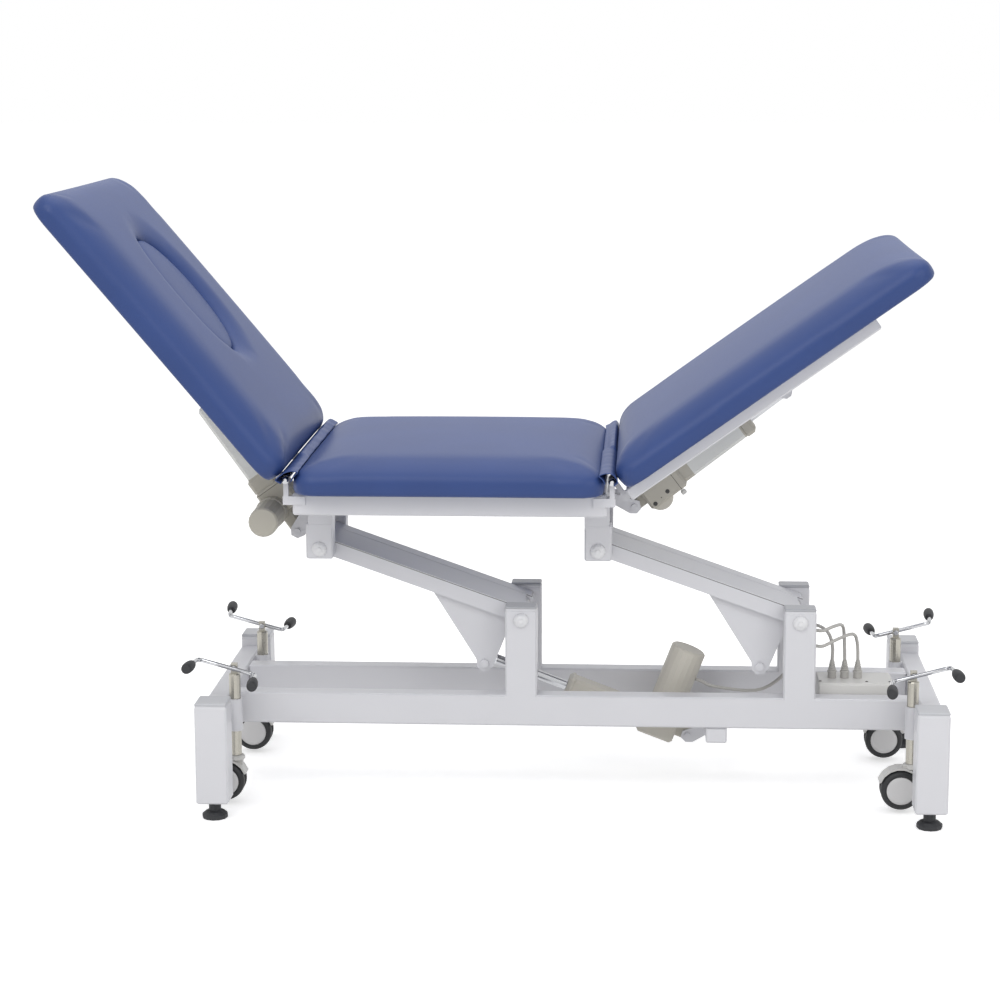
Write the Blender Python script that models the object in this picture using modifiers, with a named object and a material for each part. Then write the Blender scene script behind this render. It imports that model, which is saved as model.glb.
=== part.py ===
"""Electric treatment table: a steel base with two lift arms, a seat, a back and a leg section.

Named sizes are in millimetres. X runs along the table with the back section at -X, the near
side is -Y and the floor is Z = 0. Every moving piece hangs on an empty on its joint's axis.
"""

import math

import bmesh
import bpy

MM = 0.001
GAP = 0.3

# The base's middle, so that the whole table is centred over X = 0.
SHIFT_X = 123.22

# Base: legs, end beams, rails and posts.
LEG_X, LEG_Y, LEG_SIDE = 692.0, 306.0, 60.0
LEG_BOTTOM, LEG_TOP = 33.0, 219.0
CAP_HIGH, TUBE_EDGE = 7.0, 3.0
BEAM_WIDE = 40.0
RAIL_BOTTOM, RAIL_HIGH = 142.0, 60.0
RAIL_Y, RAIL_WIDE = 106.0, 40.0
POST_X, POST_WIDE, POST_TOP = (-97.0, 429.0), 60.0, 368.0
CROSSBAR_X, CROSSBAR_WIDE, CROSSBAR_HIGH = 274.0, 40.0, 30.0

# Casters, pedals and feet.
STEM_X, STEM_Y, STEM_R = 637.0, 174.0, 11.0
SLEEVE_WALL, SLEEVE_BOTTOM, SLEEVE_HIGH = 3.0, 141.0, 62.0
PEDAL_Z, PEDAL_TILT, PEDAL_HALF, PEDAL_ARM, PEDAL_OUT = 262.0, 15.0, 57.0, 95.0, 14.0
ROD_R, GRIP_R, GRIP_LONG = 4.0, 10.5, 45.0
WHEEL_R, WHEEL_Z, WHEEL_TRAIL = 37.5, 44.0, 20.0
WHEEL_IN, WHEEL_OUT, AXLE_R = 7.0, 23.0, 5.0
HOOD_TOP = 92.7
FOOT_R, FOOT_NECK_R = 24.0, 11.5

# Lift arms, from the lower pivot to the upper one.
LOWER_Z, ARM_LONG, ARM_RISE = 348.0, 404.0, 19.4
ARM_WIDE, ARM_HIGH, ARM_TOP_THICK, ARM_SIDE_GAP = 44.0, 30.0, 5.0, 2.0
PIN_A, PIN_B, PIN_R = 36.0, -117.0, 8.0
GUSSET_Y, GUSSET_THICK, GUSSET_LONG = 65.0, 6.0, 188.0
SHAFT_R, SHAFT_CLEAR = 9.0, 0.6

# Seat, back and leg sections. u runs out from the hinge and w is square to the section. The
# hinges and the frame's top are set from the arms' upper pivots.
BACK_HINGE_OUT, LEG_HINGE_OUT, FRAME_LIFT, HINGE_LIFT = 40.94, 28.06, 131.81, 26.0
BACK_TILT, LEG_TILT = 50.0, 35.5
BACK_GAP, LEG_GAP = 9.0, 8.0
BACK_LONG, LEG_LONG = 677.0, 691.0
CUSHION_HALF, CUSHION_THICK, CROWN, DRAWN_IN = 320.0, 65.0, 6.0, 3.0
FLAP_WIDE, FLAP_HIGH, FLAP_LIFT, FLAP_THICK, FLAP_IN = 7.6, 14.0, 7.6, 2.6, 14.0
SEAT_HIGH, FRAME_HIGH, FRAME_WIDE = 41.0, 24.0, 30.0
SEAT_FRAME_Y, BACK_FRAME_Y, LEG_FRAME_Y = 250.0, 125.0, 250.0
BACK_FRAME_LONG, LEG_FRAME_LONG, PIN_CROSS_LIFT = 583.0, 553.0, 10.0
BRACKET_WIDE, BRACKET_DROP, BRACKET_RISE = 52.0, 19.2, 49.8
EAR_THICK, EAR_R, EAR_NECK, HINGE_R, HINGE_CLEAR = 8.0, 7.5, 4.6, 4.2, 0.4
OVAL_U, OVAL_LONG, OVAL_WIDE, OVAL_CLEAR = 383.0, 138.0, 104.0, 0.8

# Actuators: the fixed pivots, the rods' far pins and the shared fittings.
HEIGHT_PIVOT = (221.0, 100.0)
BACK_PIVOT_OUT, BACK_PIVOT_UP, BACK_PIN = 54.9, 14.8, (338.0, -68.0)
LEG_PIVOT_OUT, LEG_PIVOT_UP, LEG_PIN = 67.1, 67.8, (339.0, -82.0)
LUG_Y, LUG_THICK, PIVOT_R, PIVOT_CLEAR = 25.0, 6.0, 6.0, 0.4
FAR_PIN_R, ACTUATOR_ROD_R, ROD_CLEAR = 4.2, 9.0, 0.6
MOTOR_A, MOTOR_R, MOTOR_HIGH = 58.0, 34.0, 157.0

# Each actuator's housing (start, end, half width, low, high), tube (end, half width), the rod's
# length behind its eye, how far it draws in, and the eye's bore and outer radius.
HEIGHT_SIZES = ((24.0, 98.0, 33.0, -27.0, 30.0), (246.0, 23.0), 250.0, 34.0, (16.8, 21.4))
BACK_SIZES = ((44.0, 104.0, 30.0, -26.0, 40.0), (300.0, 22.0), 200.0, 112.0, (11.4, 15.6))
LEG_SIZES = ((24.0, 108.0, 30.0, -28.0, 27.0), (258.0, 23.0), 190.0, 66.0, (8.2, 12.5))
BACK_MOTOR_A, BACK_MOTOR_B, BACK_MOTOR_R, BACK_MOTOR_END = 60.0, -16.0, 28.0, 150.0
LEG_MOTOR_Y, LEG_MOTOR_R, LEG_MOTOR_END = 36.0, 24.0, 190.0

# Control box, its plugs and the leads.
BOX_X, BOX_LONG, BOX_WIDE, BOX_BOTTOM, BOX_HIGH = 466.0, 145.0, 93.0, 168.0, 54.0
PLUG_X, PLUG_Y, PLUG_R, PLUG_DEEP, PLUG_HIGH = (496.0, 520.0, 545.0), -38.0, 8.0, 8.0, 34.0
LEAD_R = 3.2

PAINT = ("off_white_paint", "D6D7DB", 0.32, 0.0)
VINYL = ("blue_vinyl", "5670A8", 0.48, 0.0)
PLASTIC = ("beige_plastic", "A9A598", 0.5, 0.0)
PALE = ("pale_plastic", "D3D1CD", 0.45, 0.0)
CHROME = ("chrome", "C9CBCE", 0.12, 1.0)
RUBBER = ("dark_rubber", "2E2F31", 0.7, 0.0)
TYRE = ("caster_tyre", "1E1F20", 0.6, 0.0)
CORD = ("grey_lead", "B9B6B0", 0.5, 0.0)

RAIL_IN, RAIL_OUT = RAIL_Y - RAIL_WIDE / 2, RAIL_Y + RAIL_WIDE / 2
RAIL_TOP = RAIL_BOTTOM + RAIL_HIGH
ARM_OUT = RAIL_IN - ARM_SIDE_GAP
ARM_IN = ARM_OUT - ARM_WIDE
BORE_R = SHAFT_R + SHAFT_CLEAR
UPPER_X = [x - ARM_LONG * math.cos(math.radians(ARM_RISE)) for x in POST_X]
UPPER_Z = LOWER_Z + ARM_LONG * math.sin(math.radians(ARM_RISE))
FRAME_TOP = UPPER_Z + FRAME_LIFT
SEAT_BOTTOM = FRAME_TOP - SEAT_HIGH
BACK_HINGE = (UPPER_X[0] - BACK_HINGE_OUT, FRAME_TOP + HINGE_LIFT)
LEG_HINGE = (UPPER_X[1] + LEG_HINGE_OUT, FRAME_TOP + HINGE_LIFT)
BACK_PIVOT = (UPPER_X[0] - BACK_PIVOT_OUT, UPPER_Z + BACK_PIVOT_UP)
LEG_PIVOT = (UPPER_X[1] + LEG_PIVOT_OUT, UPPER_Z + LEG_PIVOT_UP)
CUSHION_LOW = FRAME_TOP + GAP
FRAME_W = (-HINGE_LIFT - FRAME_HIGH, -HINGE_LIFT)
PAD_W = (GAP - HINGE_LIFT, GAP - HINGE_LIFT + CUSHION_THICK)
BOX_TOP = BOX_BOTTOM + BOX_HIGH


def new_scene():
    """Empties the scene and gives the parts and the cutters a collection each."""
    for old in list(bpy.data.objects):
        bpy.data.objects.remove(old)
    groups = []
    for name in ("electric_treatment_table", "cutters"):
        group = bpy.data.collections.new(name)
        bpy.context.scene.collection.children.link(group)
        groups.append(group)
    return groups


PARTS, CUTTERS = new_scene()


def reach(start, rise, way, a, b):
    """The x and z of a point a along a line that rises from start, and b square to it."""
    c, s = math.cos(math.radians(rise)), math.sin(math.radians(rise))
    return (start[0] + way * (a * c - b * s), start[1] + a * s + b * c)


def joint(name, spot, y=0.0, rise=0.0, way=1):
    """An empty on a joint's axis. Its pieces are placed by a along it, y across and b up."""
    empty = bpy.data.objects.new(name, None)
    empty.location = ((spot[0] + SHIFT_X) * MM, y * MM, spot[1] * MM)
    empty.rotation_euler = (0, -way * math.radians(rise), 0)
    PARTS.objects.link(empty)
    return (empty, way)


BASE = joint("base", (0, 0))


def piece(name, mesh, on, spot=(0, 0, 0), turn=(0, 0, 0)):
    body = bpy.data.objects.new(name, mesh)
    body.parent = on[0]
    body.location = (on[1] * spot[0] * MM, spot[1] * MM, spot[2] * MM)
    body.rotation_euler = turn
    CUTTERS.objects.link(body)
    return body


def smooth(mesh, angle=35):
    mesh.shade_smooth()
    mesh.set_sharp_from_angle(angle=math.radians(angle))


def box(name, x, y, z, on=BASE, edge=0.0):
    """A box between pairs of limits, with its edges cut back."""
    work = bmesh.new()
    bmesh.ops.create_cube(work, size=1.0)
    sides = [abs(high - low) * MM for low, high in (x, y, z)]
    bmesh.ops.scale(work, vec=sides, verts=work.verts)
    mesh = bpy.data.meshes.new(name)
    work.to_mesh(mesh)
    work.free()
    body = piece(name, mesh, on, [(low + high) / 2 for low, high in (x, y, z)])
    if edge:
        bevel = body.modifiers.new("edges", "BEVEL")
        bevel.width, bevel.segments = edge * MM, 1
    return body


TURNS = {"x": (0, math.pi / 2, 0), "y": (-math.pi / 2, 0, 0), "z": (0, 0, 0)}


def cylinder(name, radius, span, spot, on=BASE, axis="y", sides=16, wide=None):
    """A cylinder, or an oval one, along an axis through spot, between the limits in span."""
    work = bmesh.new()
    length = (span[1] - span[0]) * MM
    bmesh.ops.create_cone(work, cap_ends=True, segments=sides, radius1=radius * MM,
                          radius2=radius * MM, depth=length)
    if wide:
        bmesh.ops.scale(work, vec=(1, wide / radius, 1), verts=work.verts)
    mesh = bpy.data.meshes.new(name)
    work.to_mesh(mesh)
    work.free()
    smooth(mesh)
    middle = (span[0] + span[1]) / 2
    offset = {"x": (middle, 0, 0), "y": (0, middle, 0), "z": (0, 0, middle)}[axis]
    return piece(name, mesh, on, [s + o for s, o in zip(spot, offset)], TURNS[axis])


def turned(name, profile, spot, on=BASE, axis="z", sides=16):
    """A turned body: pairs of height and radius, from its low end to its high end."""
    line = [(profile[0][0], 0.0)] + list(profile) + [(profile[-1][0], 0.0)]
    points = [(radius * MM, 0, height * MM) for height, radius in reversed(line)]
    mesh = bpy.data.meshes.new(name)
    mesh.from_pydata(points, [(k, k + 1) for k in range(len(points) - 1)], [])
    body = piece(name, mesh, on, spot, TURNS[axis])
    screw = body.modifiers.new("turn", "SCREW")
    screw.steps = screw.render_steps = sides
    screw.use_merge_vertices, screw.merge_threshold = True, 0.00001
    screw.use_smooth_shade = True
    return body


def as_mesh(body):
    """The same piece with its curve made a closed mesh."""
    graph = bpy.context.evaluated_depsgraph_get()
    mesh = bpy.data.meshes.new_from_object(body.evaluated_get(graph))
    work = bmesh.new()
    work.from_mesh(mesh)
    bmesh.ops.remove_doubles(work, verts=work.verts, dist=0.000002)
    bmesh.ops.recalc_face_normals(work, faces=work.faces)
    work.to_mesh(mesh)
    work.free()
    smooth(mesh)
    made = bpy.data.objects.new(body.name, mesh)
    made.parent, made.location, made.rotation_euler = body.parent, body.location, body.rotation_euler
    name = body.name
    bpy.data.objects.remove(body)
    made.name = name
    CUTTERS.objects.link(made)
    return made


def plate(name, outline, y, on=BASE):
    """A flat plate between two limits in y, from an outline of pairs along and up."""
    shape = bpy.data.curves.new(name, "CURVE")
    shape.dimensions, shape.fill_mode = "2D", "BOTH"
    shape.extrude = abs(y[1] - y[0]) / 2 * MM
    line = shape.splines.new("POLY")
    line.points.add(len(outline) - 1)
    for point, (a, b) in zip(line.points, outline):
        point.co = (on[1] * a * MM, b * MM, 0, 1)
    line.use_cyclic_u = True
    body = piece(name, shape, on, (0, (y[0] + y[1]) / 2, 0), (math.pi / 2, 0, 0))
    return as_mesh(body)


def wire(name, path, radius, on=BASE, resolution=2, radii=None):
    """A round rod or lead along a path of points."""
    shape = bpy.data.curves.new(name, "CURVE")
    shape.dimensions = "3D"
    shape.bevel_depth, shape.bevel_resolution, shape.use_fill_caps = radius * MM, resolution, True
    line = shape.splines.new("POLY")
    line.points.add(len(path) - 1)
    for k, (point, (a, y, b)) in enumerate(zip(line.points, path)):
        point.co = (on[1] * a * MM, y * MM, b * MM, 1)
        point.radius = radii[k] / radius if radii else 1.0
    line.use_smooth = True
    return piece(name, shape, on)


def rod_between(name, path, radius, on=BASE, resolution=4, radii=None):
    return as_mesh(wire(name, path, radius, on, resolution, radii))


def smooth_path(points, steps):
    """Points of a smooth line through the given ones."""
    line = []
    for k in range(len(points) - 1):
        after = points[min(k + 2, len(points) - 1)]
        around = (points[max(k - 1, 0)], points[k], points[k + 1], after)
        for i in range(steps):
            t = i / steps
            line.append(tuple(b + 0.5 * t * (c - a + t * (2 * a - 5 * b + 4 * c - d)
                                             + t * t * (3 * b - a - 3 * c + d))
                              for a, b, c, d in zip(*around)))
    return line + [points[-1]]


def material(look):
    name, colour, roughness, metallic = look
    found = bpy.data.materials.get(name)
    if found:
        return found
    made = bpy.data.materials.new(name)
    made.use_nodes = True
    shader = made.node_tree.nodes["Principled BSDF"]
    parts = [int(colour[k:k + 2], 16) / 255 for k in (0, 2, 4)]
    linear = [p / 12.92 if p <= 0.04045 else ((p + 0.055) / 1.055) ** 2.4 for p in parts]
    shader.inputs["Base Color"].default_value = (*linear, 1)
    shader.inputs["Roughness"].default_value = roughness
    shader.inputs["Metallic"].default_value = metallic
    return made


def part(name, look, body, adds=(), cuts=()):
    """One named part from a body, the pieces welded to it and the holes in it."""
    body.name = name
    body.data.name = name
    body.data.materials.append(material(look))
    CUTTERS.objects.unlink(body)
    PARTS.objects.link(body)
    for operation, others in (("UNION", adds), ("DIFFERENCE", cuts)):
        for other in others:
            step = body.modifiers.new(other.name, "BOOLEAN")
            step.operation, step.solver, step.object = operation, "EXACT", other
            other.hide_render = True
            other.display_type = "WIRE"
    return body


def pair(side, inner, outer):
    """Limits in y on one side of the middle, low one first."""
    return sorted((side * inner, side * outer))


def about(middle, width):
    return (middle - width / 2, middle + width / 2)


def capped_tube(name, x, y, bottom, top):
    """An upright tube and the plastic cap that closes it."""
    seam = 1.2
    tube = box(name, x, y, (bottom, top), edge=TUBE_EDGE)
    inset = [(low + seam, high - seam) for low, high in (x, y)]
    neck = box(name + "_neck", *inset, (top - 4, top + seam + 1))
    inset = [(low + 0.4, high - 0.4) for low, high in (x, y)]
    cap = box(name + "_cap", *inset, (top + seam, top + CAP_HIGH), edge=2.0)
    return [tube, neck, cap]


def rail(name, side):
    """A long rail with the two posts that carry the arms' lower pivots."""
    y = pair(side, RAIL_IN, RAIL_OUT)
    inner = LEG_X - BEAM_WIDE - GAP
    body = box(name, (-inner, inner), y, (RAIL_BOTTOM, RAIL_TOP), edge=TUBE_EDGE)
    adds, cuts = [], []
    for k, x in enumerate(POST_X):
        adds += capped_tube(f"{name}_post{k}", about(x, POST_WIDE), y, RAIL_TOP - 6, POST_TOP)
        cuts.append(cylinder(f"{name}_bore{k}", BORE_R, (y[0] - 3, y[1] + 3), (x, 0, LOWER_Z)))
    part(name, PAINT, body, adds, cuts)


def end_frame(name, end):
    """An end beam with its two legs and the sleeves that guide the caster stems."""
    beam = sorted((end * LEG_X, end * (LEG_X - BEAM_WIDE)))
    leg = sorted((end * LEG_X, end * (LEG_X - LEG_SIDE)))
    reach_y = LEG_Y - LEG_SIDE + 10
    body = box(name, (beam[0] + 0.2, beam[1] - 0.2), (-reach_y, reach_y), (RAIL_BOTTOM, RAIL_TOP),
               edge=TUBE_EDGE)
    adds, cuts = [], []
    for side in (-1, 1):
        label = f"{name}_{side}"
        y = pair(side, LEG_Y - LEG_SIDE, LEG_Y)
        adds += capped_tube(label + "_leg", leg, y, LEG_BOTTOM, LEG_TOP)
        spot = (end * STEM_X, side * STEM_Y, 0)
        sleeve = (SLEEVE_BOTTOM, SLEEVE_BOTTOM + SLEEVE_HIGH)
        adds.append(cylinder(label + "_sleeve", STEM_R + SLEEVE_WALL, sleeve, spot, axis="z", sides=16))
        web = sorted((end * (LEG_X - BEAM_WIDE + 5), end * STEM_X))
        adds.append(box(label + "_web", web, about(spot[1], 12), (sleeve[0] + 7, sleeve[1] - 7)))
        bore = (sleeve[0] - 10, sleeve[1] + 10)
        cuts.append(cylinder(label + "_bore", STEM_R + 0.5, bore, spot, axis="z", sides=16))
    part(name, PAINT, body, adds, cuts)


def foot(name, end, side):
    spot = (end * (LEG_X - LEG_SIDE / 2), LEG_BOTTOM)
    on = joint(name + "_joint", spot, side * (LEG_Y - LEG_SIDE / 2))
    low = -LEG_BOTTOM
    profile = [(low, FOOT_R - 1), (low + 2, FOOT_R), (low + 8, FOOT_R), (low + 13, 18),
               (low + 15, FOOT_NECK_R), (-GAP, FOOT_NECK_R)]
    part(name, RUBBER, turned(name, profile, (0, 0, 0), on, sides=12))


def caster(label, end, side):
    """A stem with its swivelling hood, twin wheel and pedal."""
    x, y = end * STEM_X, side * STEM_Y
    on = joint(label + "_stem_joint", (x, 0), y)
    lug_y, neck = 5.0, PEDAL_Z - 11
    profile = [(HOOD_TOP + GAP, STEM_R), (neck - 2, STEM_R), (neck, STEM_R - 1.5)]
    stem = turned(label, profile, (0, 0, 0), on, sides=12)
    lug = box(label + "_lug", (-6, 6), (-lug_y, lug_y), (neck - 4, PEDAL_Z + ROD_R + 5), on)
    span = (-lug_y - 3, lug_y + 3)
    bore = cylinder(label + "_lug_bore", ROD_R + 1.6, span, (0, 0, PEDAL_Z), on, sides=12)
    part(label + "_stem", CHROME, stem, [lug], [bore])

    pedal_on = joint(label + "_pedal_joint", (x, PEDAL_Z), y, PEDAL_TILT, end)
    bar_y = lug_y + ROD_R + 0.6
    corner = [(PEDAL_HALF + 6, PEDAL_ARM), (PEDAL_HALF, bar_y + 11), (PEDAL_HALF - 4, bar_y + 3),
              (PEDAL_HALF - 12, bar_y)]
    path = [(PEDAL_OUT + a, side * out, 0) for a, out in corner]
    path += [(PEDAL_OUT - a, side * out, 0) for a, out in reversed(corner)]
    pedal = rod_between(label + "_rod", path, ROD_R, pedal_on, 2)
    span = pair(side, -lug_y - 2, bar_y)
    adds = [cylinder(label + "_pedal_pin", ROD_R + 1.2, span, (0, 0, 0), pedal_on, sides=12)]
    for k, way in enumerate((1, -1)):
        slope = 6.0 / (PEDAL_ARM - bar_y - 11)
        line = [(PEDAL_OUT + way * (PEDAL_HALF + 6 - t * slope), side * (PEDAL_ARM - t), 0)
                for t in (-3, 0, GRIP_LONG - 2, GRIP_LONG)]
        radii = [GRIP_R - 2.5, GRIP_R, GRIP_R, GRIP_R - 2]
        adds.append(rod_between(f"{label}_grip{k}", line, GRIP_R, pedal_on, 2, radii))
    part(label + "_pedal", CHROME, pedal, adds)

    hood_on = joint(label + "_swivel_joint", (x, HOOD_TOP), y)
    drop = WHEEL_Z - HOOD_TOP
    boss = turned(label + "_boss", [(-9, 15), (-8, 17), (-2.5, 17), (0, 14)], (0, 0, 0), hood_on, sides=12)
    wx = -WHEEL_TRAIL
    outline = [(wx - 9, drop - 9), (wx + 9, drop - 9), (13, -26), (13, -8), (-12, -4), (wx - 12, -10),
               (wx - 18, -22)]
    web = plate(label + "_hood_web", outline, about(0, 2 * WHEEL_IN - 4), hood_on)
    inner, outer = WHEEL_R + 2, WHEEL_R + 5.5
    ring = [math.radians(20 + k * 20) for k in range(8)]
    arch = [(wx + outer * math.cos(t), drop + outer * math.sin(t)) for t in ring]
    arch += [(wx + inner * math.cos(t), drop + inner * math.sin(t)) for t in reversed(ring)]
    guard = plate(label + "_guard", arch, (-17, 17), hood_on)
    span = about(0, 3 * WHEEL_IN)
    axle_bore = cylinder(label + "_axle_bore", AXLE_R + 0.6, span, (wx, 0, drop), hood_on, sides=12)
    part(label + "_hood", PALE, boss, [web, guard], [axle_bore])

    wheel_on = joint(label + "_wheel_joint", (x - WHEEL_TRAIL, WHEEL_Z), y)
    half = [(WHEEL_IN, AXLE_R), (WHEEL_IN, WHEEL_R - 6), (WHEEL_IN + 2, WHEEL_R),
            (WHEEL_OUT - 5, WHEEL_R), (WHEEL_OUT - 2, WHEEL_R - 4), (WHEEL_OUT - 2, 26), (WHEEL_OUT, 24)]
    profile = [(-h, r) for h, r in reversed(half)] + half
    part(label + "_wheels", TYRE, turned(label + "_wheel", profile, (0, 0, 0), wheel_on, "y", 14))


def arm(name, foot_x):
    """A lift arm: two side tubes under a closed top, cross tubes, gusset plates and their pin."""
    on = joint(name + "_joint", (foot_x, LOWER_Z), 0, ARM_RISE, -1)
    half = ARM_HIGH / 2
    outline = [(-14, 6 - half), (-8, -half), (ARM_LONG + 10, -half), (ARM_LONG + 18, 7 - half),
               (ARM_LONG + 18, half - 7), (ARM_LONG + 10, half), (-8, half), (-14, half - 6)]
    body = plate(name + "_near", outline, (-ARM_OUT, -ARM_IN), on)
    adds = [plate(name + "_far", outline, (ARM_IN, ARM_OUT), on),
            box(name + "_top", (2, ARM_LONG - 2), (-ARM_IN - 6, ARM_IN + 6),
                (half - ARM_TOP_THICK, half - 0.5), on)]
    for k, a in enumerate((64.0, ARM_LONG - 60.0)):
        inside = (-ARM_IN - 8, ARM_IN + 8)
        adds.append(box(f"{name}_cross{k}", about(a, 30), inside, (-12, 12), on, TUBE_EDGE))
    gusset = [(14, 8 - half), (GUSSET_LONG, 8 - half), (PIN_A + 17, PIN_B + 2), (PIN_A + 11, PIN_B - 12),
              (PIN_A, PIN_B - 17), (PIN_A - 12, PIN_B - 12), (PIN_A - 17, PIN_B)]
    outside = GUSSET_Y + GUSSET_THICK / 2
    for side in (-1, 1):
        y = pair(side, outside - GUSSET_THICK, outside)
        adds.append(plate(f"{name}_gusset{side}", gusset, y, on))
    span = (-outside - 6, outside + 6)
    adds.append(cylinder(name + "_pin", PIN_R, span, (PIN_A, 0, PIN_B), on, sides=12))
    cuts = [cylinder(f"{name}_bore{k}", BORE_R, (-ARM_OUT - 4, ARM_OUT + 4), (a, 0, 0), on)
            for k, a in enumerate((0.0, ARM_LONG))]
    part(name, PAINT, body, adds, cuts)


def pivot_shaft(name, x, z):
    """A shaft with a round cap on each end."""
    out = RAIL_OUT + GAP
    cap = [(out, SHAFT_R + 5.5), (out + 4, SHAFT_R + 4.5), (out + 7, SHAFT_R + 1), (out + 9, 5)]
    profile = [(-h, r) for h, r in reversed(cap)] + [(-out, SHAFT_R), (out, SHAFT_R)] + cap
    part(name, PALE, turned(name, profile, (x, 0, z), BASE, "y", 12))


def hinge_ear(name, on, y, gap):
    """A foot, a neck and a boss that stand from a frame's end to the hinge line."""
    foot_w = (FRAME_W[0] + 3, FRAME_W[1] - 5)
    return [
        box(name + "_foot", (-EAR_NECK - 1.4, gap + 26), (y[0] + 0.6, y[1] - 0.6), foot_w, on),
        box(name + "_neck", (-EAR_NECK, EAR_NECK), (y[0] + 0.3, y[1] - 0.3), (foot_w[0] + 7, -2), on),
        cylinder(name, EAR_R, y, (0, 0, 0), on, sides=12),
    ]


def section_frame(name, on, gap, middle, long, crosses):
    """Two side tubes, their cross tubes and the ears on the hinge."""
    inner, outer = middle - FRAME_WIDE / 2, middle + FRAME_WIDE / 2
    start = gap + 2
    body = box(name, (start, long), (-outer, -inner), FRAME_W, on, TUBE_EDGE)
    adds = [box(name + "_far", (start, long), (inner, outer), FRAME_W, on, TUBE_EDGE)]
    for k, (cross, lift) in enumerate(zip(crosses, (1, PIN_CROSS_LIFT, 1))):
        inside = (FRAME_W[0] + lift, FRAME_W[1] - 1)
        adds.append(box(f"{name}_cross{k}", cross, (-inner - 6, inner + 6), inside, on, 2.0))
    for side in (-1, 1):
        adds += hinge_ear(f"{name}_ear{side}", on, pair(side, inner - EAR_THICK + 2, inner + 3), gap)
    span = (-outer - 20, outer + 20)
    bore = cylinder(name + "_bore", HINGE_R + HINGE_CLEAR, span, (0, 0, 0), on, sides=12)
    return body, adds, bore


def far_lugs(name, on, pin):
    """The lugs under a section's cross tube that take the actuator rod's eye."""
    u, w = pin
    root = FRAME_W[0] + PIN_CROSS_LIFT + 6
    outline = [(u - 18, root), (u + 18, root), (u + 12, w - 4), (u + 5, w - 11), (u - 5, w - 11),
               (u - 12, w - 4)]
    adds = [plate(f"{name}{side}", outline, pair(side, 16, 21), on) for side in (-1, 1)]
    return adds + [cylinder(name + "_pin", FAR_PIN_R, (-24, 24), (u, 0, w), on, sides=12)]


def clevis(name, outline, pivot):
    """Two lugs with the pin that an actuator turns on."""
    inner, outer = LUG_Y - LUG_THICK / 2, LUG_Y + LUG_THICK / 2
    adds = [plate(f"{name}{side}", outline, pair(side, inner, outer)) for side in (-1, 1)]
    span = (-outer - 4, outer + 4)
    return adds + [cylinder(name + "_pin", PIVOT_R, span, (pivot[0], 0, pivot[1]), sides=12)]


def seat_frame():
    low, top = SEAT_BOTTOM, FRAME_TOP
    x = (BACK_HINGE[0] + BACK_GAP + 2, LEG_HINGE[0] - LEG_GAP - 2)
    inner, outer = SEAT_FRAME_Y - FRAME_WIDE / 2, SEAT_FRAME_Y + FRAME_WIDE / 2
    body = box("seat_near_tube", x, (-outer, -inner), (low, top), edge=TUBE_EDGE)
    adds = [box("seat_far_tube", x, (inner, outer), (low, top), edge=TUBE_EDGE)]
    cuts = []
    step = UPPER_Z + BRACKET_RISE
    for k, px in enumerate(UPPER_X):
        wide = about(px, BRACKET_WIDE)
        cross = (max(wide[0], x[0] + 2), min(wide[1], x[1] - 2))
        across = (-inner - 6, inner + 6)
        adds.append(box(f"seat_cross{k}", cross, across, (low + 1, top - 1), edge=TUBE_EDGE))
        for side in (-1, 1):
            y = pair(side, RAIL_IN, RAIL_OUT)
            neck = (wide[0] + (5 if k == 0 else 0.5), wide[1] - (0.5 if k == 0 else 5))
            adds.append(box(f"seat_bracket{k}{side}", (wide[0] + 0.5, wide[1] - 0.5), y,
                            (UPPER_Z - BRACKET_DROP, step), edge=TUBE_EDGE))
            adds.append(box(f"seat_neck{k}{side}", neck, (y[0] + 0.4, y[1] - 0.4), (step - 8, low + 8)))
        span = (-RAIL_OUT - 4, RAIL_OUT + 4)
        cuts.append(cylinder(f"seat_bore{k}", BORE_R, span, (px, 0, UPPER_Z)))
    for label, hinge, gap, way in (("back", BACK_HINGE, BACK_GAP, 1), ("leg", LEG_HINGE, LEG_GAP, -1)):
        on = joint(f"seat_{label}_hinge", hinge, way=way)
        for side in (-1, 1):
            y = pair(side, outer - 3, outer - 3 + EAR_THICK)
            adds += hinge_ear(f"seat_ear_{label}{side}", on, y, gap)
        cuts.append(cylinder(f"seat_bore_{label}", HINGE_R + HINGE_CLEAR, (-outer - 20, outer + 20),
                             (hinge[0], 0, hinge[1]), sides=12))
    left, right = UPPER_X
    (bx, bz), (lx, lz) = BACK_PIVOT, LEG_PIVOT
    outline = [(left - 19, low + 7), (left + 16, low + 7), (bx + 14, bz - 8), (bx, bz - 14),
               (bx - 12, bz - 8), (bx - 13, bz + 6)]
    adds += clevis("seat_back_clevis", outline, BACK_PIVOT)
    outline = [(right - 18, low + 7), (right + 12, low + 7), (lx + 10, lz + 11), (lx + 13, lz - 4),
               (lx + 5, lz - 13), (lx - 8, lz - 13)]
    adds += clevis("seat_leg_clevis", outline, LEG_PIVOT)
    part("seat_frame", PAINT, body, adds, cuts)


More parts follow.
